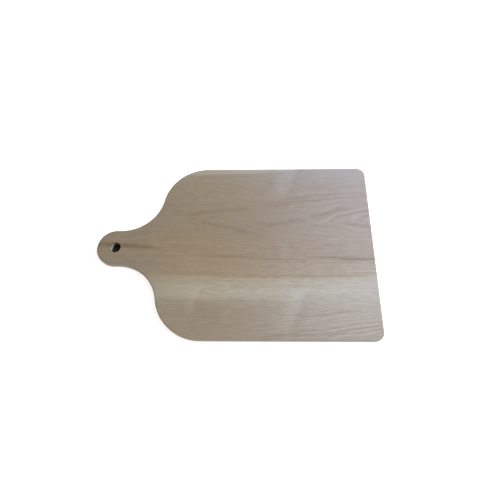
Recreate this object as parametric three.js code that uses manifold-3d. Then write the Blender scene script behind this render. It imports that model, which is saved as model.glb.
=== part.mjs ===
// Wooden serving board with a handle: four staves glued edge to edge, routed to one outline.
// Millimetres, +Z up. The underside lies on z = 0, the handle points to -X and the square end to +X.

import * as THREE from "three";
import { mergeVertices } from "three/addons/utils/BufferGeometryUtils.js";
import Module from "manifold-3d";

// Board outline
const BOARD_LENGTH = 430;
const BOARD_WIDTH = 285;
const BOARD_THICKNESS = 12;
const CORNER_RADIUS = 13;
const HANDLE_WIDTH = 58; // the tip is a half circle of this width
const HANDLE_STRAIGHT = 6; // parallel stretch between the tip's half circle and the neck
const NECK_RADIUS = 65; // concave, leaves the handle
const SHOULDER_RADIUS = 71; // convex, runs into the straight side
const EDGE_ROUND = 3; // round-over along the whole outline, top and bottom

// Hanging hole, concentric with the handle's tip
const HOLE_DIAMETER = 16.5;
const HOLE_EASE = 1.25; // round-over of both rims

// Staves, from the far edge (+Y) to the near edge (-Y)
const HOLE_TO_JOINT = 8; // wood left between the eased rim and the first glue joint
const NARROW_STAVE_WIDTH = 29;
const PALE_STAVE_WIDTH = 39;

// Glue joints
const GLUE_FILM = 0.2;
const GLUE_CLEARANCE = 0.05; // between the film and each stave

// Facets and cutting margins
const ARC_FACETS = 12;
const EDGE_FACETS = 4;
const HOLE_FACETS = 40;
const CUT_MARGIN = 5;

const FINISHES = {
  brown_wood: { color: 0xa3978a, roughness: 0.62, metalness: 0 },
  pale_wood: { color: 0xb5ae9f, roughness: 0.62, metalness: 0 },
  wood_glue: { color: 0x6e5a44, roughness: 0.5, metalness: 0 },
};

const wasm = await Module();
wasm.setup();

// A three.js geometry as a closed solid that can be cut and joined.
function toSolid(geometry) {
  const bare = geometry.clone();
  bare.deleteAttribute("normal");
  bare.deleteAttribute("uv");
  const merged = mergeVertices(bare, 1e-4);
  const mesh = new wasm.Mesh({
    numProp: 3,
    vertProperties: new Float32Array(merged.attributes.position.array),
    triVerts: new Uint32Array(merged.index.array),
  });
  return new wasm.Manifold(mesh);
}

// A solid back as three.js geometry, with the facets' own normals.
function toGeometry(solid) {
  const mesh = solid.getMesh();
  const geometry = new THREE.BufferGeometry();
  geometry.setAttribute("position", new THREE.BufferAttribute(mesh.vertProperties.slice(), 3));
  geometry.setIndex(new THREE.BufferAttribute(mesh.triVerts.slice(), 1));
  const facets = geometry.toNonIndexed();
  facets.computeVertexNormals();
  return facets;
}

// The outline seen from above, drawn a little inside the board's edge: half-round handle, S-shaped shoulders,
// straight sides and a square end with rounded corners.
function boardOutline(inset) {
  const endX = BOARD_LENGTH / 2;
  const tipX = -BOARD_LENGTH / 2;
  const halfWidth = BOARD_WIDTH / 2;
  const halfHandle = HANDLE_WIDTH / 2;

  const tip = new THREE.Vector2(tipX + halfHandle, 0);
  const neck = new THREE.Vector2(tip.x + HANDLE_STRAIGHT, halfHandle + NECK_RADIUS);
  const corner = new THREE.Vector2(endX - CORNER_RADIUS, halfWidth - CORNER_RADIUS);
  // The shoulder touches both the neck and the straight side.
  const reach = NECK_RADIUS + SHOULDER_RADIUS;
  const drop = halfWidth - SHOULDER_RADIUS - neck.y;
  const shoulder = new THREE.Vector2(neck.x + Math.sqrt(reach * reach - drop * drop), neck.y + drop);
  // Direction from the neck's centre to the shoulder's centre; the two arcs meet on this line.
  const meet = Math.atan2(drop, shoulder.x - neck.x);

  const cornerRadius = CORNER_RADIUS - inset;
  const shoulderRadius = SHOULDER_RADIUS - inset;
  const neckRadius = NECK_RADIUS + inset;
  const tipRadius = halfHandle - inset;
  const quarter = Math.PI / 2;

  const outline = new THREE.Shape();
  outline.moveTo(corner.x, -corner.y - cornerRadius);
  outline.absarc(corner.x, -corner.y, cornerRadius, -quarter, 0, false);
  outline.absarc(corner.x, corner.y, cornerRadius, 0, quarter, false);
  outline.absarc(shoulder.x, shoulder.y, shoulderRadius, quarter, meet + Math.PI, false);
  outline.absarc(neck.x, neck.y, neckRadius, meet, -quarter, true);
  outline.absarc(tip.x, tip.y, tipRadius, quarter, 3 * quarter, false);
  outline.absarc(neck.x, -neck.y, neckRadius, quarter, -meet, true);
  outline.absarc(shoulder.x, -shoulder.y, shoulderRadius, Math.PI - meet, 3 * quarter, false);
  outline.closePath();
  return outline;
}

// The glued-up blank routed to its outline, with both edges rounded over: the flat faces end where the
// round-over begins, and the bevel swells out from there to the board's edge.
function boardSolid() {
  const geometry = new THREE.ExtrudeGeometry(boardOutline(EDGE_ROUND), {
    depth: BOARD_THICKNESS - 2 * EDGE_ROUND,
    curveSegments: ARC_FACETS,
    bevelEnabled: true,
    bevelThickness: EDGE_ROUND,
    bevelSize: EDGE_ROUND,
    bevelSegments: EDGE_FACETS,
  });
  geometry.translate(0, 0, EDGE_ROUND);
  return toSolid(geometry);
}

// The cutter for the hanging hole: a straight bore that flares by a quarter round at each face.
function holeCutter() {
  const bore = HOLE_DIAMETER / 2;
  const mouth = bore + HOLE_EASE;
  const profile = [new THREE.Vector2(0, -CUT_MARGIN), new THREE.Vector2(mouth, -CUT_MARGIN)];
  for (let step = 0; step <= EDGE_FACETS; step += 1) {
    const angle = (step / EDGE_FACETS) * (Math.PI / 2);
    profile.push(new THREE.Vector2(mouth - HOLE_EASE * Math.sin(angle), HOLE_EASE - HOLE_EASE * Math.cos(angle)));
  }
  for (let step = EDGE_FACETS; step >= 0; step -= 1) {
    const angle = (step / EDGE_FACETS) * (Math.PI / 2);
    const top = BOARD_THICKNESS - HOLE_EASE;
    profile.push(new THREE.Vector2(mouth - HOLE_EASE * Math.sin(angle), top + HOLE_EASE * Math.cos(angle)));
  }
  profile.push(new THREE.Vector2(mouth, BOARD_THICKNESS + CUT_MARGIN));
  profile.push(new THREE.Vector2(0, BOARD_THICKNESS + CUT_MARGIN));

  const geometry = new THREE.LatheGeometry(profile, HOLE_FACETS);
  geometry.rotateX(Math.PI / 2);
  geometry.translate(-BOARD_LENGTH / 2 + HANDLE_WIDTH / 2, 0, 0);
  return toSolid(geometry);
}

// A slab across the whole board between two distances from the centre line.
function slab(nearY, farY) {
  const length = BOARD_LENGTH + 2 * CUT_MARGIN;
  const height = BOARD_THICKNESS + 2 * CUT_MARGIN;
  const geometry = new THREE.BoxGeometry(length, farY - nearY, height);
  geometry.translate(0, (nearY + farY) / 2, BOARD_THICKNESS / 2);
  return toSolid(geometry);
}

// The piece of the board between two distances from the centre line, placed by its own middle.
function strip(board, name, finish, nearY, farY) {
  const middle = (nearY + farY) / 2;
  const geometry = toGeometry(board.intersect(slab(nearY, farY)));
  geometry.translate(0, -middle, 0);
  const material = new THREE.MeshStandardMaterial({ name: finish, ...FINISHES[finish] });
  const mesh = new THREE.Mesh(geometry, material);
  mesh.name = name;
  mesh.position.y = middle;
  return mesh;
}

const board = boardSolid().subtract(holeCutter());

// Middle of each glue joint, and the far and near edges of the board with room to spare.
const farJoint = -(HOLE_DIAMETER / 2 + HOLE_EASE + HOLE_TO_JOINT);
const middleJoint = farJoint - NARROW_STAVE_WIDTH;
const nearJoint = middleJoint - PALE_STAVE_WIDTH;
const outside = BOARD_WIDTH / 2 + CUT_MARGIN;
const halfFilm = GLUE_FILM / 2;
const halfGap = halfFilm + GLUE_CLEARANCE;

const servingBoard = new THREE.Group();
servingBoard.name = "serving_board";

const staves = new THREE.Group();
staves.name = "staves";
staves.add(
  strip(board, "wide_stave", "brown_wood", farJoint + halfGap, outside),
  strip(board, "narrow_stave", "brown_wood", middleJoint + halfGap, farJoint - halfGap),
  strip(board, "pale_stave", "pale_wood", nearJoint + halfGap, middleJoint - halfGap),
  strip(board, "near_stave", "brown_wood", -outside, nearJoint - halfGap),
);

const glueLines = new THREE.Group();
glueLines.name = "glue_lines";
glueLines.add(
  strip(board, "glue_line_far", "wood_glue", farJoint - halfFilm, farJoint + halfFilm),
  strip(board, "glue_line_middle", "wood_glue", middleJoint - halfFilm, middleJoint + halfFilm),
  strip(board, "glue_line_near", "wood_glue", nearJoint - halfFilm, nearJoint + halfFilm),
);

servingBoard.add(staves, glueLines);

export default servingBoard;
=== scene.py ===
"""Looks of a wooden serving board: four edge-glued staves with their glue lines, on a pale studio floor."""

import logging
import math
from dataclasses import dataclass, field
from enum import Enum
from functools import cached_property

import bpy
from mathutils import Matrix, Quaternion, Vector

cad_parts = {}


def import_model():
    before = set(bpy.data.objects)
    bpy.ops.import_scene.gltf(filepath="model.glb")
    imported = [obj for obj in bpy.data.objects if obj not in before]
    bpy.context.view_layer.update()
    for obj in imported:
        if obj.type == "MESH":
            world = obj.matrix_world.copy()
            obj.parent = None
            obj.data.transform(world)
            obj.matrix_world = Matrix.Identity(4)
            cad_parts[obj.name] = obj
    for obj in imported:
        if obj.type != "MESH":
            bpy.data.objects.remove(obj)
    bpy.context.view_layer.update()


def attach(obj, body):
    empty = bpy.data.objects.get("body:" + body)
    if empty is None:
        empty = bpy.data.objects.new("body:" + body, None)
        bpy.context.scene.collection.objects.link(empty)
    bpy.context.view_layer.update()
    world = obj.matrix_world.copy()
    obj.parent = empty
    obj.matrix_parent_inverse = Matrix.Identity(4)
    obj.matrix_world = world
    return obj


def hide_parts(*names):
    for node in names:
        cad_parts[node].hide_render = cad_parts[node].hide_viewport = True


log = logging.getLogger("serving_board")

Socket = bpy.types.NodeSocket
Colour = tuple[float, float, float, float]
Point = tuple[float, float]
Path = tuple[Point, ...]

MM = 0.001
QUARTER = math.pi / 2
WHITE = (1.0, 1.0, 1.0, 1.0)

# Sizes that shapes and finishes share, in millimetres
TOP = 12.0  # height of the serving face
END = 215.0  # distance of the handle's tip and of the square end from the board's middle
HANDLE_WIDTH = 58.0
HOLE_RADIUS = 8.25
HOLE_MIDDLE = (HANDLE_WIDTH / 2 - END, 0.0)  # concentric with the handle's tip

# Upward part of a face's normal, which tells what the face belongs to
WALL_TILT = 0.1  # at most, on an upright wall
FLAT_TILT = 0.9  # at least, beside an edge that is to be rounded
LEVEL_TILT = 0.999  # at least, on the two flat faces of the finished board

# Where the wood changes on the way to the square end, in millimetres from the board's middle
# first the stretch where the wood turns paler and greyer, partly bleached and partly painted sheen
GREYING_AND_SHEEN = (-60.0, 200.0)
RINGS_RISE = (-100.0, 170.0)
GRAIN_CLEARS = (-90.0, 150.0)
HANDLED_SHADE_FADE = 110.0  # length over which the painted shade at the handle end, and the darkening by hands, fade away

# How strongly year rings and grain show there, in single rings and in patches
RING_STRENGTH = (0.32, 1.1)
RING_CHANCE = (0.2, 1.0)
GRAIN_CLARITY = (1.0, 1.3)
PATCH_CLARITY = (0.45, 1.25)

# Distances from the crown's middle line between which the grain comes up, and then calms down again
CROWN_INNER = (4.0, 26.0)
CROWN_OUTER = (58.0, 85.0)
CROWN_BEND = 40.0  # length over which straight rings bend into the crown

# What parts of the wood do to its colour
LATE_WOOD = 0.07  # how much paler a year's ring ends
EARLY_WOOD = 0.13  # how much darker it starts
FIBRE_TONE = (0.955, 1.045)  # what fine fibres multiply the colour by
MOTTLE_TONE = (0.93, 1.07)  # what its broad unevenness multiplies it by
WORN_EDGE = 1.16  # what rounded edges multiply the colour by
WORN_TILT = (0.7, 0.98)  # upward part of the normal on a rounded edge and on the flat face beside it
END_GRAIN = 0.72  # what cut fibre ends multiply the colour by
PORE_SHARE = 0.45  # how much of a pore's own colour shows
BROWNING = (0.85, 1.0, 1.25)  # power of a tone in red, green and blue, so that darker wood is browner

# What they add to its roughness
PORE_ROUGH = 0.18
WORN_ROUGH = -0.05
HANDLED_ROUGH = -0.04
FIBRE_ROUGH = (-0.04, 0.04)

# What fibres and early wood add to its relief, in which a pore is 1 deep
FIBRE_RELIEF = 0.35
EARLY_RELIEF = -0.3
RELIEF_STRENGTH = 0.35
RELIEF_DEPTH = 0.12 * MM

# How high the noise has to be for a large pore, in dense and in porous wood, and for a fine pore
PORE_LEVEL = (0.68, 0.56)
PORE_EDGE = 0.07
SPECK_LEVEL = (0.62, 0.7)
SPECK_STRENGTH = 0.6
POROUS = 0.7  # share of early wood from which the wood is at its most porous

# How far grain lines run beside their paths, and the length over which they fade, in millimetres
STRAY_REACH = (-1.6, 1.6)
LEAN = 0.35  # per millimetre of depth
FADE = 25.0
RUN_OFF = 1.0  # where a line runs off the end of the board
LINE_FIBRE = (0.65, 1.15)  # how strong a line stays from fibre to fibre
LINE_BREAKS = (0.6, 1.3)  # and from patch to patch

# Ranges that hold nearly all of a noise, most of it, or its core
NEARLY_ALL = (0.2, 0.8)
MOST = (0.25, 0.75)
CORE = (0.3, 0.7)


@dataclass(frozen=True)
class Noise:
    """A kind of soft noise in the wood.

    Attributes:
        cells: Length of one cell along, across and through the board, in millimetres.
        seed: Picks another pattern than the other kinds have.
        detail: Octaves of finer noise.
        roughness: How strong the finer octaves are.
    """

    cells: tuple[float, float, float]
    seed: float
    detail: float = 2.0
    roughness: float = 0.5


SLOW_WARP = Noise((120.0, 45.0, 45.0), seed=0, detail=1.0)  # long waves in the year rings
QUICK_WARP = Noise((45.0, 11.0, 11.0), seed=1)  # short waves in them
DASHES = Noise((5.0, 0.24, 0.24), seed=2, detail=1.0)  # large pores
FIBRES = Noise((24.0, 0.9, 0.9), seed=3, detail=3.0, roughness=0.6)
MOTTLE = Noise((130.0, 24.0, 24.0), seed=4, detail=4.0, roughness=0.7)  # broad uneven tone
STRAYING = Noise((50.0, 16.0, 16.0), seed=5, detail=3.5, roughness=0.6)  # of grain lines
CLEAR_PATCHES = Noise((120.0, 34.0, 34.0), seed=6)  # where the grain shows more
STREAKS = Noise((17.0, 4.4, 12.0), seed=7, detail=3.0, roughness=0.55)
SPECKS = Noise((2.2, 0.11, 0.11), seed=8, detail=1.0)  # fine pores
BREAKS = Noise((15.0, 5.0, 5.0), seed=9)  # in grain lines
GLUE_PATCHES = Noise((14.0, 2.0, 2.0), seed=5, detail=3.0, roughness=0.6)

WARPS = ((SLOW_WARP, 2.0), (QUICK_WARP, 0.7))  # and their reach, as a multiple of a stave's warp


class Side(Enum):
    """The two sides of a line along the board: towards its far edge at +y or its near edge at -y."""

    FAR = "far"
    NEAR = "near"


def select_only(obj: bpy.types.Object) -> None:
    """Makes one object the only selected and active one.

    Args:
        obj: The object to select.
    """
    if bpy.context.object and bpy.context.object.mode != "OBJECT":
        bpy.ops.object.mode_set(mode="OBJECT")
    bpy.ops.object.select_all(action="DESELECT")
    obj.select_set(True)
    bpy.context.view_layer.objects.active = obj


def rgb(red: int, green: int, blue: int) -> Colour:
    """A colour in shader values.

    Args:
        red: Red as a screen shows it, 0 to 255.
        green: Green.
        blue: Blue.

    Returns:
        The colour as linear light, opaque.
    """
    shares = [part / 255 for part in (red, green, blue)]
    linear = [part / 12.92 if part <= 0.04045 else ((part + 0.055) / 1.055) ** 2.4 for part in shares]
    return linear[0], linear[1], linear[2], 1.0


def straight(y: float) -> Path:
    """A straight line along the whole board and past its ends, y millimetres from the centre line."""
    return (-END - 1.0, y), (END + 1.0, y)


class Number:
    """A number that nodes work out at each point of a surface, and that formulas are written with."""

    def __init__(self, graph: "Graph", socket: Socket) -> None:
        """Takes the number from a node.

        Args:
            graph: The nodes that it belongs to.
            socket: The node's output that gives it.
        """
        self.graph = graph
        self.socket = socket

    def math(self, operation: str, *others: "Value") -> "Number":
        """An operation of the Math node on this number and others."""
        return self.graph.math(operation, self, *others)

    def __add__(self, other: "Value") -> "Number":
        """The sum with another number."""
        return self.math("ADD", other)

    def __sub__(self, other: "Value") -> "Number":
        """The number less another."""
        return self.math("SUBTRACT", other)

    def __rsub__(self, other: float) -> "Number":
        """A plain number less this one."""
        return self.graph.math("SUBTRACT", other, self)

    def __mul__(self, other: "Value") -> "Number":
        """The product with another number."""
        return self.math("MULTIPLY", other)

    def __truediv__(self, other: "Value") -> "Number":
        """The number divided by another."""
        return self.math("DIVIDE", other)

    def __rtruediv__(self, other: float) -> "Number":
        """A plain number divided by this one."""
        return self.graph.math("DIVIDE", other, self)

    def __pow__(self, power: float) -> "Number":
        """A power of the number."""
        return self.math("POWER", power)

    def __abs__(self) -> "Number":
        """The number without its sign."""
        return self.math("ABSOLUTE")

    def span(self, low: float, high: float, bottom: float, top: float) -> "Number":
        """A ramp from bottom to top while the number goes from low to high, level on either side."""
        return self.graph.number("ShaderNodeMapRange", self, low, high, bottom, top)

    def ease(self, low: float, high: float, bottom: float = 0.0, top: float = 1.0) -> "Number":
        """A smooth step from bottom to top while the number goes from low to high, which is above low."""
        step = (self, low, high, bottom, top)
        return self.graph.number("ShaderNodeMapRange", *step, interpolation_type="SMOOTHSTEP")

    def curve(self, path: Path) -> "Number":
        """A smooth curve through a few points.

        Args:
            path: The points, with their first numbers rising. This number tells where between them.

        Returns:
            The curve's height, level beyond its ends.
        """
        start, end = path[0][0], path[-1][0]
        low = min(point[1] for point in path)
        # One more millimetre keeps the reach above zero where the curve is level.
        reach = max(point[1] for point in path) - low + 1.0
        made = self.graph.node("ShaderNodeFloatCurve", 1.0, self.span(start, end, 0.0, 1.0))
        bend = made.mapping.curves[0]
        bend.points[0].location = (0.0, (path[0][1] - low) / reach)
        bend.points[1].location = (1.0, (path[-1][1] - low) / reach)
        for x, y in path[1:-1]:
            bend.points.new((x - start) / (end - start), (y - low) / reach)
        made.mapping.update()
        return Number(self.graph, made.outputs[0]) * reach + low


Value = Number | Socket | float | tuple[float, ...]


class Graph:
    """The nodes of a material or world, with a short method for each kind that the finishes use."""

    def __init__(self, owner: bpy.types.Material | bpy.types.World) -> None:
        """Starts with no nodes.

        Args:
            owner: The material or world.
        """
        self.owner = owner
        owner.use_nodes = True
        self.tree = owner.node_tree
        self.tree.nodes.clear()

    @classmethod
    def material(cls, name: str) -> "Graph":
        """The empty nodes of a new material."""
        return cls(bpy.data.materials.new(name))

    def node(self, kind: str, *values: Value, **settings: object) -> bpy.types.Node:
        """Adds a node, sets its options and feeds its inputs in order.

        Args:
            kind: The node's type name.
            *values: What its inputs get, from the first one on.
            **settings: Options by attribute name.

        Returns:
            The new node.
        """
        made = self.tree.nodes.new(kind)
        for key, setting in settings.items():
            setattr(made, key, setting)
        for socket, value in zip(made.inputs, values):
            self.feed(socket, value)
        return made

    def feed(self, socket: Socket, value: Value) -> None:
        """Links a socket to another, or sets a plain value on it.

        Args:
            socket: The input to feed.
            value: Another node's output, or a number or tuple.
        """
        if isinstance(value, Number):
            value = value.socket
        if isinstance(value, Socket):
            self.tree.links.new(value, socket)
        else:
            socket.default_value = value

    def number(self, kind: str, *values: Value, **settings: object) -> Number:
        """Adds a node in the same way and takes its first output as a number."""
        return Number(self, self.node(kind, *values, **settings).outputs[0])

    def math(self, operation: str, *numbers: Value) -> Number:
        """An operation of the Math node on up to three numbers."""
        return self.number("ShaderNodeMath", *numbers, operation=operation)

    def split(self, vector: Value) -> tuple[Number, ...]:
        """The x, y and z of a vector."""
        return tuple(Number(self, part) for part in self.node("ShaderNodeSeparateXYZ", vector).outputs)

    def divide(self, vector: Value, parts: tuple[float, float, float]) -> Socket:
        """Divides a vector, each part by its own number."""
        return self.node("ShaderNodeVectorMath", vector, parts, operation="DIVIDE").outputs[0]

    def noise(self, place: Value, kind: Noise, seed: float = 0.0) -> Number:
        """Soft noise from 0 to 1 at a place in millimetres, in another pattern for each seed."""
        values = (self.divide(place, kind.cells), seed + kind.seed, 1.0, kind.detail, kind.roughness)
        return self.number("ShaderNodeTexNoise", *values, noise_dimensions="4D")

    def mix(self, share: Value, first: Value, second: Value, blend: str = "MIX") -> Socket:
        """Mixes two colours.

        Args:
            share: How much of the second colour comes in.
            first: The first colour.
            second: The second colour.
            blend: The Mix node's blending.

        Returns:
            The mixed colour.
        """
        made = self.node("ShaderNodeMix", share, data_type="RGBA", blend_type=blend, clamp_factor=True)
        # The node's sockets for numbers and vectors come before those for colours.
        self.feed(made.inputs[6], first)
        self.feed(made.inputs[7], second)
        return made.outputs[2]

    def shade(self, colour: Value, tone: Number) -> Socket:
        """Multiplies a colour by a tone, which leaves darker wood browner and paler wood greyer."""
        tint = self.node("ShaderNodeCombineColor", *(tone**power for power in BROWNING))
        return self.mix(1.0, colour, tint.outputs[0], "MULTIPLY")

    def seen(self) -> Number:
        """Tells what is looked at, straight or in a reflection, from what only gives light.

        Returns:
            1 where the camera looks, also by way of gloss or glass, and 0 elsewhere.
        """
        path = self.node("ShaderNodeLightPath")
        looked_at = self.math("MAXIMUM", path.outputs["Is Camera Ray"], path.outputs["Is Glossy Ray"])
        return looked_at.math("MAXIMUM", path.outputs["Is Transmission Ray"])

    def surface(self, shader: bpy.types.Node, output: str = "ShaderNodeOutputMaterial") -> None:
        """Puts a shader on the surface, through an output node of the given type."""
        self.node(output, shader.outputs[0])


class Spot:
    """The point being shaded, in millimetres from the board's middle, with the noise its grain shares."""

    def __init__(self, graph: Graph, seed: float = 0.0) -> None:
        """Reads the point's place.

        Args:
            graph: The material's nodes.
            seed: Picks the noise of this piece.
        """
        self.graph = graph
        self.seed = seed
        coordinates = graph.node("ShaderNodeTexCoord")
        self.place = graph.divide(coordinates.outputs["Object"], (MM, MM, MM))
        self.along, self.across, self.height = graph.split(self.place)
        self.depth = TOP - self.height
        self.facing_end, _, self.facing_up = graph.split(coordinates.outputs["Normal"])

    def noise(self, kind: Noise) -> Number:
        """Noise of one kind, in this piece's own pattern."""
        return self.graph.noise(self.place, kind, self.seed)

    @cached_property
    def fibre(self) -> Number:
        """Fine fibres along the board."""
        return self.noise(FIBRES)

    @cached_property
    def breaks(self) -> Number:
        """Small patches that break grain lines up, the same in all staves."""
        return self.graph.noise(self.place, BREAKS)

    @cached_property
    def wander(self) -> Number:
        """How far grain lines run beside their paths, the same in all staves, as lines may touch a joint."""
        return self.depth * LEAN + self.graph.noise(self.place, STRAYING).span(*NEARLY_ALL, *STRAY_REACH)

    def beside(self, path: Path) -> Number:
        """How far to the far side of a line in the grain the point lies."""
        return self.across - (self.along.curve(path) + self.wander)


@dataclass(frozen=True)
class GrainLine:
    """A darker or paler line in the grain.

    A fade that isn't given is FADE, or RUN_OFF where the path goes past an end of the board.

    Attributes:
        path: Points that the line runs through, x and y in millimetres from the board's middle, x rising.
        tone: What its middle multiplies the wood by, below 1 for a dark line and above 1 for a pale one.
        width: Its width where it is half as strong as at its middle.
        fade_in: Length over which it comes up from its start.
        fade_out: Length over which it dies away before its end.
    """

    path: Path
    tone: float
    width: float = 5.0
    fade_in: float | None = None
    fade_out: float | None = None

    def tone_at(self, spot: Spot) -> Number:
        """How the line changes the wood at a point.

        Args:
            spot: The point.

        Returns:
            What the wood is multiplied by.
        """
        start, end = self.path[0][0], self.path[-1][0]
        fade_in = self.fade_in or (RUN_OFF if start < -END else FADE)
        fade_out = self.fade_out or (RUN_OFF if end > END else FADE)
        shown = (
            abs(spot.beside(self.path)).ease(0.0, self.width, 1.0, 0.0)
            * spot.along.ease(start, start + fade_in)
            * spot.along.ease(end - fade_out, end, 1.0, 0.0)
            * spot.fibre.span(*CORE, *LINE_FIBRE)
            * spot.breaks.span(*CORE, *LINE_BREAKS)
        )
        return shown.span(0.0, 1.0, 1.0, self.tone)


@dataclass(frozen=True)
class Zone:
    """A stretch of another tone up to a line along the board, such as sapwood or a band of painted sheen.

    Attributes:
        path: Points of its border, x and y in millimetres from the board's middle, x rising.
        side: The side of the border that it lies on.
        tint: What it multiplies the wood's colour by.
        soft: Width of the border.
    """

    path: Path
    side: Side
    tint: Colour
    soft: float = 3.0

    def apply(self, spot: Spot, colour: Value) -> Socket:
        """Colours a point if it lies in the zone.

        Args:
            spot: The point.
            colour: Its colour so far.

        Returns:
            Its new colour.
        """
        inside = (0.0, 1.0) if self.side is Side.FAR else (1.0, 0.0)
        share = spot.beside(self.path).ease(-self.soft / 2, self.soft / 2, *inside)
        return spot.graph.mix(share, colour, self.tint, "MULTIPLY")


@dataclass(frozen=True)
class DrilledWall:
    """The wall of the hanging hole, with painted light and shade. Sizes in millimetres.

    Most of the wall carries a painted shade. Towards the tip of the handle it carries painted light, down to
    a painted shadow edge that rises on the way to either side, and a painted highlight further down on
    the far side.

    Attributes:
        painted_wall_shade: Colour of the painted shade.
        painted_light: Colour of the painted light.
        painted_highlight: Colour of the painted highlight.
        begins: Depths between which the wall takes over from the rest of the wood.
        highlight_depths: Depths between which the painted light turns to the painted highlight.
        light_edge: Height of the painted shadow edge towards the tip.
        light_edge_rise: How much higher the edge lies at either side.
        light_edge_soft: Half the height over which the painted light ends.
        light_edge_curl: Power by which the edge rises on the way to either side.
        skin: How far outside the drilled radius the wall's colour begins to fade, and is gone.
        tip_side: Where the side towards the tip fades, from the hole's middle, in radii.
        far_side: Where the far side comes up, in radii.
        fibrous: What fibres multiply the colour by.
    """

    painted_wall_shade: Colour
    painted_light: Colour
    painted_highlight: Colour
    begins: tuple[float, float] = (1.2, 3.2)
    highlight_depths: tuple[float, float] = (4.5, 8.0)
    light_edge: float = 1.5
    light_edge_rise: float = 8.5
    light_edge_soft: float = 2.0
    light_edge_curl: float = 5.0
    skin: tuple[float, float] = (0.05, 0.35)
    tip_side: tuple[float, float] = (-0.5, 0.3)
    far_side: tuple[float, float] = (-0.6, 0.1)
    fibrous: tuple[float, float] = (0.9, 1.1)

    def apply(self, spot: Spot, colour: Value) -> Socket:
        """Colours a point if it lies on the wall of the hole.

        Args:
            spot: The point.
            colour: Its colour so far.

        Returns:
            Its new colour.
        """
        graph = spot.graph
        x = spot.along - HOLE_MIDDLE[0]
        y = spot.across - HOLE_MIDDLE[1]
        away = (x * x + y * y) ** 0.5
        wall = (away - HOLE_RADIUS).ease(*self.skin, 1.0, 0.0)
        # The painted light reaches deepest towards the tip, and its painted shadow edge rises on the way to
        # either side.
        lower_edge = (abs(y) / HOLE_RADIUS) ** self.light_edge_curl * self.light_edge_rise + self.light_edge
        above = (spot.height - lower_edge).ease(-self.light_edge_soft, self.light_edge_soft)
        towards_tip = (x / HOLE_RADIUS).ease(*self.tip_side, 1.0, 0.0)
        far_side = (y / HOLE_RADIUS).ease(*self.far_side)
        # Painted highlight deeper on the far side within the painted light, and painted shade on the rest of
        # the wall.
        painted_light = graph.mix(spot.depth.ease(*self.highlight_depths) * far_side, self.painted_light, self.painted_highlight)
        wood = graph.mix(above * towards_tip, self.painted_wall_shade, painted_light)
        wood = graph.shade(wood, spot.fibre.span(*MOST, *self.fibrous))
        return graph.mix(wall * spot.depth.ease(*self.begins), colour, wood)


@dataclass(frozen=True)
class Ripple:
    """A wave in the fibres that crosses the grain aslant: painted sheen where they rise, painted shade where
    they dip.

    Attributes:
        far: Its far end, x and y in millimetres from the board's middle.
        near: Its near end.
        strength: How strong it is, 1 at most.
        pale: What the painted sheen on the risen fibres multiplies the wood's colour by.
        dark: What the painted shade on the dipping fibres multiplies it by.
        sheen_width: Width of the painted sheen, towards the handle.
        shade_width: Width of the painted shade.
        turn: Half the width over which painted sheen turns to painted shade.
        fade: Half the length over which it fades at its ends.
        waver: How much more it strays than grain lines do.
        fibrous: How strong it stays from fibre to fibre.
    """

    far: Point
    near: Point
    strength: float = 1.0
    pale: Colour = (1.12, 1.15, 1.22, 1.0)
    dark: Colour = (0.93, 0.92, 0.91, 1.0)
    sheen_width: float = 32.0
    shade_width: float = 20.0
    turn: float = 5.0
    fade: float = 12.0
    waver: float = 3.0
    fibrous: tuple[float, float] = (0.7, 1.0)

    def apply(self, spot: Spot, colour: Value) -> Socket:
        """Colours a point if it lies on the ripple.

        Args:
            spot: The point.
            colour: Its colour so far.

        Returns:
            Its new colour.
        """
        crest = spot.across.span(self.near[1], self.far[1], self.near[0], self.far[0])
        off = spot.along - crest + spot.wander * self.waver
        body = (
            spot.across.ease(self.near[1] - self.fade, self.near[1] + self.fade)
            * spot.across.ease(self.far[1] - self.fade, self.far[1] + self.fade, 1.0, 0.0)
            * spot.fibre.span(*CORE, *self.fibrous)
            * self.strength
        )
        turned = off.ease(-self.turn, self.turn)
        # Painted sheen on the rising side, painted shade on the dipping side.
        risen = off.ease(-self.sheen_width, -self.sheen_width / 4) * (1.0 - turned) * body
        painted_shade_share = off.ease(0.0, self.shade_width, 1.0, 0.0) * turned * body
        colour = spot.graph.mix(risen, colour, self.pale, "MULTIPLY")
        return spot.graph.mix(painted_shade_share, colour, self.dark, "MULTIPLY")


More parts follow.
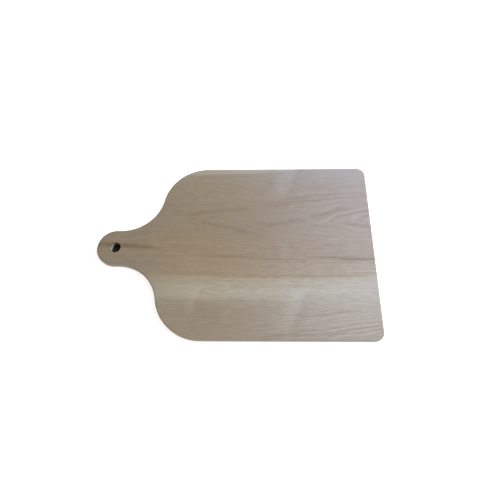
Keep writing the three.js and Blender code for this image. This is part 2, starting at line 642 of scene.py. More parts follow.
@dataclass(frozen=True)
class WoodFinish:
    """Sanded and oiled hardwood, worked out in the solid so that faces, edges and end grain agree.

    On the face, year rings show as nested points, the crown, open towards +x, and run straight before it.
    Sizes in millimetres.

    Attributes:
        name: The material's name.
        seed: Picks the noise of this stave.
        wood: Colour at the handle end.
        greyed_and_sheen: Colour at the square end, paler and greyer: partly wood that has bleached a little,
            partly painted sheen of the window lamp.
        pore: Colour inside the pores.
        crown_y: Distance of the crown's middle line from the board's centre line.
        crown_start: Where along the board the crown begins.
        crown_blunt: How blunt the points of the crown are.
        climb: Slope of the crown's arms.
        reach: Distance from the middle line at which the arms have half their slope.
        dip: How steeply the rings run down through the thickness.
        ring: Width of one year's growth.
        warp: How far the rings stray from their even run.
        calm: How much of the grain still shows along the crown's middle line.
        outer_calm: How much of it shows far out from that line.
        show: How strongly the rings show.
        streaky: How much the wood between them varies.
        neck: What the handle and the neck multiply the wood's colour by: mostly painted shade, where the
            lamp's light falls off at the handle end, partly darkening by hands.
        neck_shade_end: Where along the board that painted shade and darkening have faded away.
        roughness: Roughness of the sanded face.
        lines: Lines that stand out of the grain.
        patches: Stretches of another colour, some of them painted sheen and shade.
        bore: The wall of a hole drilled through the wood, with its painted light and shade.
    """

    name: str
    seed: float
    wood: Colour
    greyed_and_sheen: Colour
    pore: Colour
    crown_y: float
    crown_start: float = -75.0
    crown_blunt: float = 5.0
    climb: float = 0.22
    reach: float = 30.0
    dip: float = 0.8
    ring: float = 5.0
    warp: float = 3.0
    calm: float = 1.0
    outer_calm: float = 1.0
    show: float = 0.7
    streaky: float = 0.1
    neck: Colour = (0.95, 0.95, 0.95, 1.0)
    neck_shade_end: float = -95.0
    roughness: float = 0.5
    lines: tuple[GrainLine, ...] = ()
    patches: tuple[Zone | Ripple, ...] = ()
    bore: DrilledWall | None = None

    def material(self) -> bpy.types.Material:
        """Builds the material.

        Returns:
            The finished material.
        """
        graph = Graph.material(self.name)
        spot = Spot(graph, self.seed)
        growth = self.growth(spot)
        clear = self.clarity(spot)
        early, ring_tone = self.rings(spot, growth, clear)
        pores = self.pores(spot, early)
        # At the handle end: painted shade in the colour, with a little darkening by hands, and handling in
        # the roughness.
        handled_and_shade = spot.along.ease(self.neck_shade_end - HANDLED_SHADE_FADE, self.neck_shade_end, 1.0, 0.0)
        worn = abs(spot.facing_up).ease(*WORN_TILT, 1.0, 0.0)

        # Paler and greyer towards the square end: partly bleached wood, partly painted sheen of the window
        # lamp.
        colour = graph.mix(spot.along.ease(*GREYING_AND_SHEEN), self.wood, self.greyed_and_sheen)
        # Darker at the handle end: mostly painted shade, partly darkening by hands.
        colour = graph.mix(handled_and_shade, colour, self.neck, "MULTIPLY")
        for patch in self.patches:
            colour = patch.apply(spot, colour)
        tone = (
            ring_tone
            * self.streaks(spot, growth, clear)
            * spot.fibre.span(*MOST, *FIBRE_TONE)
            * spot.noise(MOTTLE).span(*MOST, *MOTTLE_TONE)
            * worn.span(0.0, 1.0, 1.0, WORN_EDGE)
            * abs(spot.facing_end).span(0.0, 1.0, 1.0, END_GRAIN)
        )
        for line in self.lines:
            tone = tone * line.tone_at(spot)
        colour = graph.shade(colour, tone)
        colour = graph.mix(pores * PORE_SHARE, colour, self.pore)
        if self.bore:
            colour = self.bore.apply(spot, colour)

        rough = pores * PORE_ROUGH + worn * WORN_ROUGH + handled_and_shade * HANDLED_ROUGH + self.roughness
        relief = spot.fibre * FIBRE_RELIEF + early * EARLY_RELIEF - pores
        bump = graph.node("ShaderNodeBump", RELIEF_STRENGTH, RELIEF_DEPTH)
        graph.feed(bump.inputs["Height"], relief)

        shader = graph.node("ShaderNodeBsdfPrincipled", colour)
        graph.feed(shader.inputs["Roughness"], rough + spot.fibre.span(*NEARLY_ALL, *FIBRE_ROUGH))
        graph.feed(shader.inputs["Normal"], bump.outputs["Normal"])
        graph.surface(shader)
        return graph.owner

    def growth(self, spot: Spot) -> Number:
        """How much wood the tree had put on when it grew a point.

        Args:
            spot: The point.

        Returns:
            The growth in millimetres from some early year, the same all over one year's ring.
        """
        side = spot.across - self.crown_y
        square = side * side
        slope = self.climb / (square / self.reach**2 + 1.0)
        advance = spot.along.math("SMOOTH_MAX", self.crown_start, CROWN_BEND)
        grown = (square + self.crown_blunt**2) ** 0.5 - advance * slope - spot.depth * self.dip
        for kind, reach in WARPS:
            grown = grown + (spot.noise(kind) - 0.5) * (reach * self.warp)
        return grown

    def rings(self, spot: Spot, growth: Number, clear: Number) -> tuple[Number, Number]:
        """The year rings: a porous dark line, then dense wood that ends pale.

        Args:
            spot: The point.
            growth: Growth at the point.
            clear: How clearly the grain shows.

        Returns:
            How porous the wood is, from 0 to 1, and what its colour is multiplied by.
        """
        count = growth / self.ring
        part = count.math("FRACT")
        year = count.math("FLOOR")
        chance = spot.graph.number("ShaderNodeTexWhiteNoise", (0.0, 0.0, 0.0), year, noise_dimensions="1D")
        risen = spot.along.ease(*RINGS_RISE, *RING_STRENGTH)
        strength = clear * chance.span(0.0, 1.0, *RING_CHANCE) * risen * self.show
        early = (1.0 - part) ** 2.0
        return early, (part**2.0 * LATE_WOOD - early * EARLY_WOOD) * strength + 1.0

    def streaks(self, spot: Spot, growth: Number, clear: Number) -> Number:
        """Soft uneven streaks that follow the year rings.

        Args:
            spot: The point.
            growth: Growth at the point.
            clear: How clearly the grain shows.

        Returns:
            What the wood is multiplied by.
        """
        flow = spot.graph.node("ShaderNodeCombineXYZ", spot.along, growth, spot.height)
        cloud = spot.graph.noise(flow.outputs[0], STREAKS, self.seed)
        return cloud.span(*MOST, -self.streaky, self.streaky) * clear + 1.0

    def clarity(self, spot: Spot) -> Number:
        """How clearly the grain shows: in patches, least near the crown's middle, most at the square end.

        Args:
            spot: The point.

        Returns:
            A share around 1.
        """
        side = abs(spot.across - self.crown_y)
        return (
            side.ease(*CROWN_INNER, self.calm, 1.0)
            * side.ease(*CROWN_OUTER, 1.0, self.outer_calm)
            * spot.along.ease(*GRAIN_CLEARS, *GRAIN_CLARITY)
            * spot.noise(CLEAR_PATCHES).ease(*CORE, *PATCH_CLARITY)
        )

    def pores(self, spot: Spot, early: Number) -> Number:
        """Open pores: dashes along the grain, large and crowded where each ring starts, fine elsewhere.

        Args:
            spot: The point.
            early: How porous the wood is.

        Returns:
            1 in a pore, 0 beside it.
        """
        level = early.span(0.0, POROUS, *PORE_LEVEL)
        large = (spot.noise(DASHES) - level).ease(0.0, PORE_EDGE)
        fine = spot.noise(SPECKS).ease(*SPECK_LEVEL, 0.0, SPECK_STRENGTH)
        return large.math("MAXIMUM", fine)


@dataclass(frozen=True)
class GlueFinish:
    """Cured wood glue, a thin brown line of uneven tone.

    Attributes:
        name: The material's name.
        light: Colour of its paler stretches.
        dark: Colour of its darker ones.
        turn: Levels of the noise between which dark turns to light.
        roughness: Its roughness on the whole.
        uneven: How far that goes up and down.
    """

    name: str = "wood_glue"
    light: Colour = rgb(154, 142, 123)
    dark: Colour = rgb(134, 120, 102)
    turn: tuple[float, float] = (0.35, 0.65)
    roughness: float = 0.45
    uneven: float = 0.1

    def material(self) -> bpy.types.Material:
        """Builds the material.

        Returns:
            The finished material.
        """
        graph = Graph.material(self.name)
        patch = Spot(graph).noise(GLUE_PATCHES)
        rough = patch.span(*CORE, self.roughness - self.uneven, self.roughness + self.uneven)
        colour = graph.mix(patch.ease(*self.turn), self.dark, self.light)
        shader = graph.node("ShaderNodeBsdfPrincipled", colour)
        graph.feed(shader.inputs["Roughness"], rough)
        graph.surface(shader)
        return graph.owner


@dataclass
class BoardBlank:
    """The glued-up blank after routing, before it is told apart into its staves. Sizes in metres.

    The facets are those of the whole bore and of one quarter round. A margin tells the hole's rim from the
    outline, a weld joins points, and a band inside the round-over keeps the faces flat beside it.
    """

    length: float = 2 * END * MM
    width: float = 285 * MM
    thickness: float = TOP * MM
    corner_radius: float = 13 * MM
    handle_width: float = HANDLE_WIDTH * MM
    handle_straight: float = 6 * MM
    neck_radius: float = 65 * MM
    shoulder_radius: float = 71 * MM
    edge_round: float = 3 * MM
    hole_radius: float = HOLE_RADIUS * MM
    hole_ease: float = 1.25 * MM
    arc_step: float = math.radians(2.0)
    bore_facets: int = 96
    edge_facets: int = 8
    rim_facets: int = 5
    rim_margin: float = 1 * MM
    flat_band: float = 0.6 * MM
    weld: float = 0.01 * MM

    @property
    def hole_middle(self) -> Vector:
        """The hole is concentric with the half-round tip of the handle."""
        return Vector((-self.length / 2 + self.handle_width / 2, 0, 0))

    def sweep(self, middle: Vector, angle: float) -> None:
        """Draws an arc from the walking vertex, counter-clockwise from above if the angle is positive."""
        steps = max(4, round(abs(angle) / self.arc_step))
        # Spin turns the other way round its axis.
        bpy.ops.mesh.spin(steps=steps, angle=-angle, center=middle, axis=(0, 0, 1))

    def walk(self, step: Vector) -> None:
        """Draws a straight line from the walking vertex."""
        bpy.ops.mesh.extrude_vertices_move(TRANSFORM_OT_translate={"value": step})

    def trace_half(self) -> bpy.types.Object:
        """Draws the far half of the outline, from the tip of the handle to the middle of the square end.

        Returns:
            An object that holds the half outline as a chain of edges.
        """
        half_handle = self.handle_width / 2
        neck = self.hole_middle + Vector((self.handle_straight, half_handle + self.neck_radius, 0))
        reach = self.neck_radius + self.shoulder_radius
        drop = self.width / 2 - self.shoulder_radius - neck.y
        shoulder = neck + Vector((math.sqrt(reach**2 - drop**2), drop, 0))
        meet = math.atan2(drop, shoulder.x - neck.x)
        corner = Vector((self.length / 2 - self.corner_radius, self.width / 2 - self.corner_radius, 0))

        bpy.ops.object.select_all(action="DESELECT")
        bpy.ops.mesh.primitive_plane_add(size=self.handle_width)
        half = bpy.context.active_object
        bpy.ops.object.mode_set(mode="EDIT")
        bpy.ops.mesh.select_mode(type="VERT")
        bpy.ops.mesh.merge(type="CENTER")
        bpy.ops.transform.translate(value=(-self.length / 2, 0, 0))
        self.sweep(self.hole_middle, -QUARTER)
        self.walk(Vector((self.handle_straight, 0, 0)))
        self.sweep(neck, QUARTER + meet)
        self.sweep(shoulder, -QUARTER - meet)
        self.walk(Vector((corner.x - shoulder.x, 0, 0)))
        self.sweep(corner, -QUARTER)
        self.walk(Vector((0, -corner.y, 0)))
        bpy.ops.object.mode_set(mode="OBJECT")
        return half

    def build(self) -> bpy.types.Object:
        """Models the whole board in one piece.

        Returns:
            The board, with rounded edges and its eased hole.
        """
        board = self.trace_half()
        mirror = board.modifiers.new("both_halves", "MIRROR")
        mirror.use_axis = (False, True, False)
        mirror.merge_threshold = self.weld
        bpy.ops.object.modifier_apply(modifier=mirror.name)
        bpy.ops.object.mode_set(mode="EDIT")
        bpy.ops.mesh.select_all(action="SELECT")
        bpy.ops.mesh.remove_doubles(threshold=self.weld)
        bpy.ops.mesh.edge_face_add()
        bpy.ops.mesh.extrude_region_move(TRANSFORM_OT_translate={"value": (0, 0, self.thickness)})
        bpy.ops.mesh.select_all(action="SELECT")
        bpy.ops.mesh.normals_make_consistent(inside=False)
        bpy.ops.object.mode_set(mode="OBJECT")
        self.drill(board)
        rim = self.hole_radius + self.rim_margin
        self.round_over(board, self.edge_round, self.edge_facets, (rim, self.length))
        self.round_over(board, self.hole_ease, self.rim_facets, (0.0, rim))
        self.frame_faces(board)
        return board

    def drill(self, board: bpy.types.Object) -> None:
        """Bores the hanging hole.

        Args:
            board: The board to drill.
        """
        bpy.ops.object.select_all(action="DESELECT")
        bpy.ops.mesh.primitive_cylinder_add(
            vertices=self.bore_facets,
            radius=self.hole_radius,
            depth=3 * self.thickness,
            location=self.hole_middle + Vector((0, 0, self.thickness / 2)),
        )
        drill = bpy.context.active_object
        select_only(board)
        cut = board.modifiers.new("hanging_hole", "BOOLEAN")
        cut.operation = "DIFFERENCE"
        cut.solver = "EXACT"
        cut.object = drill
        bpy.ops.object.modifier_apply(modifier=cut.name)
        bpy.data.objects.remove(drill, do_unlink=True)

    def round_over(
        self, board: bpy.types.Object, radius: float, facets: int, between: tuple[float, float]
    ) -> None:
        """Rounds edges between the flat faces and the upright walls.

        Args:
            board: The board to work on.
            radius: Radius of the round-over.
            facets: Facets in the quarter round.
            between: Distances from the hole's middle between which edges are rounded.
        """
        select_only(board)
        bpy.ops.object.mode_set(mode="EDIT")
        bpy.ops.mesh.select_mode(type="EDGE")
        bpy.ops.mesh.select_all(action="DESELECT")
        bpy.ops.object.mode_set(mode="OBJECT")
        mesh = board.data
        walls = {key for face in mesh.polygons if abs(face.normal.z) < WALL_TILT for key in face.edge_keys}
        flats = {key for face in mesh.polygons if abs(face.normal.z) > FLAT_TILT for key in face.edge_keys}
        for edge in mesh.edges:
            middle = (mesh.vertices[edge.vertices[0]].co + mesh.vertices[edge.vertices[1]].co) / 2
            wanted = between[0] < math.dist(middle.xy, self.hole_middle.xy) < between[1]
            edge.select = edge.key in walls and edge.key in flats and wanted
        bpy.ops.object.mode_set(mode="EDIT")
        bpy.ops.mesh.bevel(offset=radius, segments=facets, profile=0.5, affect="EDGES", clamp_overlap=False)
        bpy.ops.object.mode_set(mode="OBJECT")

    def frame_faces(self, board: bpy.types.Object) -> None:
        """Insets the two flat faces a little, so that they stay flat beside the smooth round-over.

        Args:
            board: The board to work on.
        """
        select_only(board)
        for height in (0.0, self.thickness):
            for face in board.data.polygons:
                face.select = abs(face.normal.z) > LEVEL_TILT and abs(face.center.z - height) < self.weld
            bpy.ops.object.mode_set(mode="EDIT")
            bpy.ops.mesh.select_mode(type="FACE")
            bpy.ops.mesh.inset(thickness=self.flat_band, depth=0.0)
            bpy.ops.mesh.select_all(action="DESELECT")
            bpy.ops.object.mode_set(mode="OBJECT")


@dataclass
class Strip:
    """One piece of the board between two saw lines parallel to its length. Sizes in metres."""

    name: str
    node: str
    slot: str
    far_y: float | None
    near_y: float | None
    smooth_below: float = math.radians(35)

    def build(self, board: bpy.types.Object) -> bpy.types.Object:
        """Copies the board and saws everything else away.

        Args:
            board: The whole board.

        Returns:
            The piece.
        """
        piece = board.copy()
        piece.data = board.data.copy()
        piece.name = self.name
        piece.data.name = self.name
        bpy.context.collection.objects.link(piece)
        if self.far_y is not None:
            self.saw(piece, self.far_y, Side.NEAR)
        if self.near_y is not None:
            self.saw(piece, self.near_y, Side.FAR)
        select_only(piece)
        bpy.ops.object.shade_smooth_by_angle(angle=self.smooth_below)
        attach(piece, "root")
        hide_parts(self.node)
        return piece

    def saw(self, piece: bpy.types.Object, y: float, keep: Side) -> None:
        """Cuts the piece along the board and closes the cut.

        Args:
            piece: The piece to cut.
            y: Distance of the cut from the centre line.
            keep: The side that stays.
        """
        select_only(piece)
        bpy.ops.object.mode_set(mode="EDIT")
        bpy.ops.mesh.select_all(action="SELECT")
        bpy.ops.mesh.bisect(
            plane_co=(0, y, 0),
            plane_no=(0, 1, 0),
            use_fill=True,
            clear_inner=keep is Side.FAR,
            clear_outer=keep is Side.NEAR,
        )
        bpy.ops.object.mode_set(mode="OBJECT")

    def dress(self, piece: bpy.types.Object, material: bpy.types.Material) -> None:
        """Gives the piece its one material."""
        piece.data.materials.clear()
        piece.data.materials.append(material)


@dataclass(frozen=True)
class Lamp:
    """A large soft lamp that looks at the board. Place, size and aim in metres, power in watts."""

    name: str
    place: tuple[float, float, float]
    size: tuple[float, float]
    power: float
    colour: tuple[float, float, float]
    aim: tuple[float, float, float] = (0.05, 0.0, 0.0)

    def hang(self) -> None:
        """Adds the lamp to the scene."""
        data = bpy.data.lights.new(self.name, "AREA")
        data.shape = "RECTANGLE"
        data.size, data.size_y = self.size
        data.energy = self.power
        data.color = self.colour
        lamp = bpy.data.objects.new(self.name, data)
        lamp.location = self.place
        look = Vector(self.aim) - Vector(self.place)
        lamp.rotation_mode = "QUATERNION"
        lamp.rotation_quaternion = look.to_track_quat("-Z", "Y")
        bpy.context.collection.objects.link(lamp)


@dataclass
class Studio:
    """Pale floor, soft light from the far right, weak light from the near left, and the camera.

    Places and sizes in metres. The floor glows to the camera, more where it lies far from the lamps.
    """

    target: tuple[float, float, float] = (24.8 * MM, -5.3 * MM, TOP * MM)
    distance: float = 573.1 * MM
    azimuth: float = math.radians(3.895)
    elevation: float = math.radians(68.05)
    roll: float = math.radians(-3.751)
    lens: float = 26.78
    window: Lamp = Lamp("window_lamp", (0.95, 0.35, 1.15), (1.6, 0.7), 26.0, (0.905, 0.964, 1.0))
    fill: Lamp = Lamp("fill_lamp", (-0.4, -1.1, 0.6), (1.2, 0.6), 4.5, (1.0, 0.95, 0.90))
    room_colour: Colour = (1.0, 0.96, 0.92, 1.0)
    room_strength: float = 0.28
    floor_size: float = 6.0
    floor_level: float = -0.2 * MM
    floor_colour: Colour = rgb(240, 240, 240)
    floor_glow: float = 0.62
    far_glow: float = 0.85
    far_from: tuple[float, float] = (0.5, 1.6)
    # painted shade on the floor under the hanging hole: its colour and the radii over which it fades out
    painted_hole_shade: Colour = rgb(54, 50, 56)
    painted_shade_radius: tuple[float, float] = (12 * MM, 14 * MM)

    def camera(self) -> None:
        """Places the camera."""
        back = Vector((
            math.sin(self.azimuth) * math.cos(self.elevation),
            -math.cos(self.azimuth) * math.cos(self.elevation),
            math.sin(self.elevation),
        ))
        data = bpy.data.cameras.new("camera")
        data.sensor_width = 36
        data.lens = self.lens
        data.clip_start = 0.01
        camera = bpy.data.objects.new("camera", data)
        camera.location = Vector(self.target) + self.distance * back
        camera.rotation_mode = "QUATERNION"
        camera.rotation_quaternion = (-back).to_track_quat("-Z", "Y") @ Quaternion((0, 0, 1), self.roll)
        bpy.context.collection.objects.link(camera)
        bpy.context.scene.camera = camera

    def floor(self, hole: Vector) -> None:
        """Lays the floor, white to the camera where light reaches it, with a patch of painted shade under
        the hanging hole.

        Args:
            hole: Middle of the hanging hole.
        """
        bpy.ops.object.select_all(action="DESELECT")
        bpy.ops.mesh.primitive_plane_add(size=self.floor_size, location=(0, 0, self.floor_level))
        floor = bpy.context.active_object
        floor.name = "floor"
        graph = Graph.material("studio_floor")
        place = graph.node("ShaderNodeNewGeometry").outputs["Position"]
        below_hole = (hole.x, hole.y, self.floor_level)
        measure = graph.node("ShaderNodeVectorMath", place, below_hole, operation="DISTANCE")
        away = Number(graph, measure.outputs["Value"])
        # A dark patch of painted shade under the hanging hole, which shows through it.
        outside_painted_shade = away.ease(*self.painted_shade_radius)
        shown = graph.seen() * outside_painted_shade * away.ease(*self.far_from, self.floor_glow, self.far_glow)
        colour = graph.mix(outside_painted_shade, self.painted_hole_shade, self.floor_colour)
        diffuse = graph.node("ShaderNodeBsdfDiffuse", colour)
        glow = graph.node("ShaderNodeEmission", WHITE, shown)
        graph.surface(graph.node("ShaderNodeAddShader", diffuse.outputs[0], glow.outputs[0]))
        floor.data.materials.append(graph.owner)

    def light(self) -> None:
        """Hangs the window's lamp at the far right and a weak one at the near left."""
        self.window.hang()
        self.fill.hang()

    def room(self) -> None:
        """Fills the room with even light and shows it as plain white."""
        world = bpy.data.worlds.new("room")
        bpy.context.scene.world = world
        graph = Graph(world)
        even = graph.node("ShaderNodeBackground", self.room_colour, self.room_strength)
        white = graph.node("ShaderNodeBackground", WHITE, 1.0)
        shown = graph.node("ShaderNodeMixShader", graph.seen(), even.outputs[0], white.outputs[0])
        graph.surface(shown, "ShaderNodeOutputWorld")


# Where the pale sapwood meets the brown wood, and where it ends towards the near edge
SAPWOOD_FAR = ((-150, -43), (-54, -47), (29, -50), (117, -50.5), (166, -49), (216, -46))
SAPWOOD_NEAR = (
    (-130, -82.5), (-85, -80.5), (-45, -82.5), (-10, -80.5),
    (25, -82), (60, -85), (110, -93), (216, -95),
)
SAPWOOD_FADE = ((0, -110), (60, -86), (100, -80), (216, -80))
SAPWOOD_LINE = GrainLine(
    ((-150, -41), (-54, -44.5), (29, -46.5), (117, -47.5), (166, -46.5), (216, -44)),
    tone=0.92,
    width=6.0,
    fade_in=60.0,
)

# The dark line beside the first joint, strongest at the square end
JOINT_PATH = (
    (-60, -15), (10, -16.6), (28, -19), (85, -20.5),
    (105, -20.5), (134, -18.5), (183, -20.5), (216, -20.5),
)
JOINT_LINES = (
    GrainLine(JOINT_PATH, tone=0.77, width=4.0, fade_in=60.0),
    GrainLine(((105, -19.5), (134, -18), (183, -20.5), (216, -20.5)), tone=0.74, width=6.5, fade_in=70.0),
)

CROWN_LINES = (
    # far arm of the first point, which breaks off and starts again
    GrainLine(((-84, 49), (-64, 58), (-20, 63), (20, 67.5), (34, 68)), tone=0.82, width=5.5, fade_in=15.0),
    GrainLine(((18, 68), (29, 74), (38, 82), (50, 94)), tone=0.93, width=9.0, fade_in=10.0, fade_out=14.0),
    GrainLine(((36, 72), (72, 73), (92, 77.5), (112, 81), (130, 82)), tone=0.89, width=10.0),
    GrainLine(((100, 75.5), (148, 83), (182, 85), (216, 90.5)), tone=0.83, width=3.6),
    # near arm and inside of the first point
    GrainLine(
        ((-60, 47), (-48, 42), (-32, 37.5), (-10, 34), (9, 29), (27, 22), (58, 17)),
        tone=0.855,
        fade_in=10.0,
    ),
    GrainLine(((-6, 31), (10, 26), (30, 19.5)), tone=0.92, width=8.0, fade_in=10.0, fade_out=10.0),
    GrainLine(((-57, 47.5), (-32, 52), (-8, 58.5)), tone=0.93, width=3.0),
    GrainLine(((-60, 49), (-28, 57.5), (-10, 61)), tone=1.05, width=3.0),
    GrainLine(((-54, 45), (-16, 45.5)), tone=1.08, width=4.5, fade_in=10.0),
    # wavy line that runs into the second point
    GrainLine(((24, 45), (42, 40.5), (58, 38), (76, 41), (96, 43.5), (126, 43)), tone=0.80, width=7.0),
    # second point
    GrainLine(
        ((115, 47), (126, 52), (138, 54), (153, 59), (168, 64), (196, 64)),
        tone=0.76,
        width=6.5,
        fade_in=15.0,
    ),
    GrainLine(((122, 38), (144, 45), (155, 51), (168, 57), (188, 60.5), (216, 68)), tone=1.20, width=3.5),
    GrainLine(((142, 40), (161, 51.5), (180, 55.2), (199, 61), (216, 62)), tone=0.77, width=3.0),
    GrainLine(((152, 44), (185, 49.5), (216, 59)), tone=1.16),
    GrainLine(((190, 51), (216, 52.5)), tone=0.75, width=3.0, fade_in=12.0),
    GrainLine(((165, 38.5), (192, 36.6), (216, 31.5)), tone=0.77, fade_in=15.0),
    GrainLine(((114, 36), (156, 35)), tone=0.83, width=3.5, fade_in=15.0, fade_out=15.0),
    GrainLine(((168, 36), (200, 27.5)), tone=1.18, width=3.0, fade_in=8.0, fade_out=8.0),
    GrainLine(((165, 32), (196, 24.5)), tone=0.90, width=3.0, fade_in=10.0, fade_out=10.0),
    GrainLine(((122, 26), (150, 18.5)), tone=1.13, width=3.5, fade_in=8.0, fade_out=8.0),
    # arms on the far side
    GrainLine(((98, 71), (144, 78), (158, 80.5), (216, 88.5)), tone=1.08, width=3.0),
    GrainLine(((120, 60), (147, 65), (160, 71), (200, 71)), tone=1.07),
    GrainLine(((74, 84), (106, 87), (140, 90.5), (216, 95)), tone=0.85, width=3.5),
    GrainLine(((64, 91.5), (150, 96), (216, 99)), tone=1.07, width=3.0),
    GrainLine(((110, 103), (216, 106)), tone=0.93, width=3.0),
    # straight grain on the near side
    GrainLine(((130, 13), (216, 12)), tone=1.12, width=2.5),
    GrainLine(((150, 9.5), (216, 9.3)), tone=0.92, width=2.0),
    GrainLine(((122, 8.5), (175, 6.5)), tone=1.09, width=2.5),
    GrainLine(((130, 4), (172, 2)), tone=0.90, width=2.5, fade_in=12.0, fade_out=12.0),
    GrainLine(((30, -1), (110, -1.5)), tone=0.93),
    GrainLine(((-115, 2), (-40, -3)), tone=0.93),
    GrainLine(((-120, 8), (-30, 7)), tone=1.05, width=2.5),
    # along the far edge
    GrainLine(((-75, 126), (42, 128)), tone=0.93),
)

# Pale strip along the far edge, which runs out towards the square end
FAR_STRIP = ((-90, 131), (0, 132), (45, 134), (75, 137), (110, 145))

# Dark streak from the handle's tip past the hole
HANDLE_STREAK = GrainLine(
    ((-216, 5), (-170, 3.4), (-135, 0), (-106, -5.5)),
    tone=0.54,
    width=6.6,
    fade_out=32.0,
)

NEAR_LINES = (
    GrainLine(
        ((86, -104), (96, -107), (126, -107), (148, -103.5), (163, -101.3), (195, -100)),
        tone=0.82,
        width=3.0,
    ),
    # dark lines that rise towards the square end, and pale ones between them
    GrainLine(
        ((80, -129.5), (121, -127.5), (155, -123.3), (173, -119.7), (216, -116)),
        tone=0.82,
        width=2.6,
    ),
    GrainLine(
        ((25, -140), (52, -137), (78, -134.6), (112, -134), (134, -132.5), (162, -127.5), (216, -121)),
        tone=0.79,
        width=4.0,
    ),
    GrainLine(((115, -139), (158, -132.6), (183, -130), (216, -125)), tone=0.79, width=2.6),
    GrainLine(((140, -140), (183, -135.8), (216, -129.5)), tone=0.79, width=2.6),
    GrainLine(((165, -141), (216, -134)), tone=0.81, width=2.4),
    GrainLine(((85, -132), (134, -129), (173, -122.5), (216, -118.5)), tone=1.12, width=2.2),
    GrainLine(((135, -134), (183, -127.3), (216, -123)), tone=1.14, width=2.2),
    GrainLine(((130, -137), (183, -133), (216, -127.5)), tone=1.14, width=2.2),
    GrainLine(((150, -140.5), (216, -132)), tone=1.14, width=2.2),
    # faint lines on the side of the pale stave
    GrainLine(((110, -112), (165, -105.5), (205, -103.5)), tone=1.06, width=3.0),
    GrainLine(((120, -118), (216, -109)), tone=0.93, width=2.6),
    GrainLine(((20, -121), (75, -118)), tone=0.94, width=3.0),
)

# Ripples across the grain, drawn as painted sheen and painted shade
FAR_RIPPLE = Ripple(far=(106, 145), near=(83, 91), pale=(1.12, 1.16, 1.25, 1.0), sheen_width=42.0)
NEAR_RIPPLES = (
    Ripple(far=(108, -72), near=(84, -126)),
    Ripple(far=(-46, -62), near=(-60, -108), strength=0.75, sheen_width=20.0),
)

BROWN_PORE = rgb(94, 81, 67)

WIDE_WOOD = WoodFinish(
    name="brown_cathedral_wood",
    seed=11.0,
    wood=rgb(139, 123, 102),
    greyed_and_sheen=rgb(147, 136, 132),
    pore=BROWN_PORE,
    crown_y=45.0,
    calm=0.35,
    outer_calm=0.4,
    show=1.0,
    streaky=0.15,
    # neck: painted shade at the handle end, with a little darkening by hands
    neck=(0.905, 0.94, 0.975, 1.0),
    neck_shade_end=-70.0,
    lines=(HANDLE_STREAK, *JOINT_LINES, *CROWN_LINES),
    patches=(
        # The first two are painted sheen of the window lamp, paler and bluer towards the far edge; the third
        # is warmer below 18 mm.
        Zone(straight(92), Side.FAR, (1.02, 1.06, 1.12, 1.0), soft=50.0),
        Zone(straight(120), Side.FAR, (1.065, 1.105, 1.18, 1.0), soft=30.0),
        Zone(straight(18), Side.NEAR, (1.04, 1.0, 0.94, 1.0), soft=50.0),
        Zone(FAR_STRIP, Side.FAR, (1.25, 1.32, 1.38, 1.0), soft=5.0),
        FAR_RIPPLE,
    ),
    # the hole's wall: painted shade, with painted light and a painted highlight where the lamp shines in
    bore=DrilledWall(painted_wall_shade=rgb(84, 70, 58), painted_light=rgb(183, 168, 143), painted_highlight=rgb(236, 226, 214)),
)

NARROW_WOOD = WoodFinish(
    name="brown_straight_wood",
    seed=23.0,
    wood=rgb(145, 126, 102),
    greyed_and_sheen=rgb(155, 142, 134),
    pore=BROWN_PORE,
    crown_y=70.0,
    climb=0.05,
    warp=2.0,
    streaky=0.14,
    # neck: painted shade at the handle end, with a bluish painted sheen that leaves it greyer
    neck=(0.835, 0.885, 1.02, 1.0),
    neck_shade_end=-60.0,
    lines=(*JOINT_LINES, SAPWOOD_LINE),
    patches=(
        Zone(straight(-34), Side.NEAR, (1.06, 1.05, 1.03, 1.0), soft=16.0),
        Zone(SAPWOOD_FAR, Side.NEAR, (1.10, 1.18, 1.23, 1.0)),
    ),
)

PALE_WOOD = WoodFinish(
    name="pale_straight_wood",
    seed=37.0,
    wood=rgb(163, 152, 133),
    greyed_and_sheen=rgb(168, 162, 156),
    pore=rgb(119, 106, 90),
    crown_y=40.0,
    climb=0.05,
    warp=2.0,
    show=0.45,
    streaky=0.12,
    # neck: painted shade at the handle end, with a little darkening by hands
    neck=(0.82, 0.82, 0.81, 1.0),
    neck_shade_end=-60.0,
    lines=(
        SAPWOOD_LINE,
        GrainLine(((-20, -63), (120, -62.5)), tone=0.92, width=3.0),
        GrainLine(((-25, -72), (110, -71), (216, -69)), tone=1.09, width=6.5, fade_out=80.0),
    ),
    patches=(
        Zone(((-216, -60), (0, -57), (216, -53)), Side.FAR, (0.92, 0.87, 0.81, 1.0), soft=18.0),
        Zone(SAPWOOD_FAR, Side.FAR, (0.89, 0.83, 0.80, 1.0)),
        Zone(SAPWOOD_NEAR, Side.NEAR, (0.85, 0.835, 0.84, 1.0), soft=8.0),
        Zone(SAPWOOD_FADE, Side.NEAR, (0.92, 0.92, 0.94, 1.0), soft=24.0),
        *NEAR_RIPPLES,
    ),
)

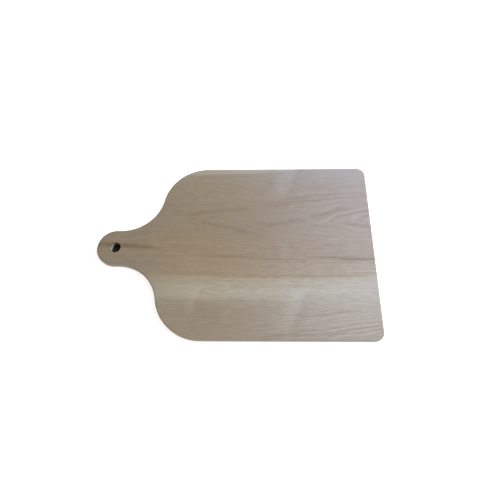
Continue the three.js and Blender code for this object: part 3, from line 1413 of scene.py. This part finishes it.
NEAR_WOOD = WoodFinish(
    name="brown_near_wood",
    seed=51.0,
    wood=rgb(143, 127, 108),
    greyed_and_sheen=rgb(158, 149, 143),
    pore=BROWN_PORE,
    crown_y=-165.0,
    crown_start=40.0,
    climb=0.16,
    reach=90.0,
    show=0.5,
    streaky=0.11,
    lines=NEAR_LINES,
    patches=(
        Zone(straight(-96), Side.FAR, (1.06, 1.07, 1.07, 1.0), soft=30.0),
        Zone(straight(-89), Side.FAR, (1.02, 1.09, 1.13, 1.0), soft=12.0),
        *NEAR_RIPPLES,
    ),
)


@dataclass
class ServingBoard:
    """The board as an assembly of staves and glue lines. Joint places in metres from the centre line."""

    blank: BoardBlank = field(default_factory=BoardBlank)
    far_joint: float = -17.5 * MM
    middle_joint: float = -46.5 * MM
    near_joint: float = -85.5 * MM
    half_gap: float = 0.15 * MM
    half_film: float = 0.13 * MM

    def build(self) -> None:
        """Models the board, tells it apart into its pieces and dresses each one."""
        board = self.blank.build()
        far, middle, near, gap = self.far_joint, self.middle_joint, self.near_joint, self.half_gap
        staves = (
            (Strip("stave_wide", "wide_stave", "brown_wood", None, far + gap), WIDE_WOOD),
            (Strip("stave_narrow", "narrow_stave", "brown_wood", far - gap, middle + gap), NARROW_WOOD),
            (Strip("stave_pale", "pale_stave", "pale_wood", middle - gap, near + gap), PALE_WOOD),
            (Strip("stave_near", "near_stave", "brown_wood", near - gap, None), NEAR_WOOD),
        )
        for strip, finish in staves:
            self.place(strip, board, finish.material())
        glue = GlueFinish().material()
        film = self.half_film
        for name, joint in (("far", far), ("middle", middle), ("near", near)):
            strip = Strip(f"glue_{name}", f"glue_line_{name}", "wood_glue", joint + film, joint - film)
            self.place(strip, board, glue)
        bpy.data.objects.remove(board, do_unlink=True)

    def place(self, strip: Strip, board: bpy.types.Object, material: bpy.types.Material) -> None:
        """Makes one piece of the board and dresses it.

        Args:
            strip: The piece to make.
            board: The whole board.
            material: The piece's finish.
        """
        piece = strip.build(board)
        strip.dress(piece, material)
        log.info("%s: %d faces", piece.name, len(piece.data.polygons))


def main() -> None:
    """Loads the frame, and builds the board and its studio."""
    logging.basicConfig(level=logging.INFO, format="%(name)s %(message)s")
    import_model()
    bpy.context.scene.view_settings.view_transform = "Standard"
    serving_board = ServingBoard()
    serving_board.build()
    studio = Studio()
    studio.floor(serving_board.blank.hole_middle)
    studio.light()
    studio.room()
    studio.camera()


if __name__ == "__main__":
    main()
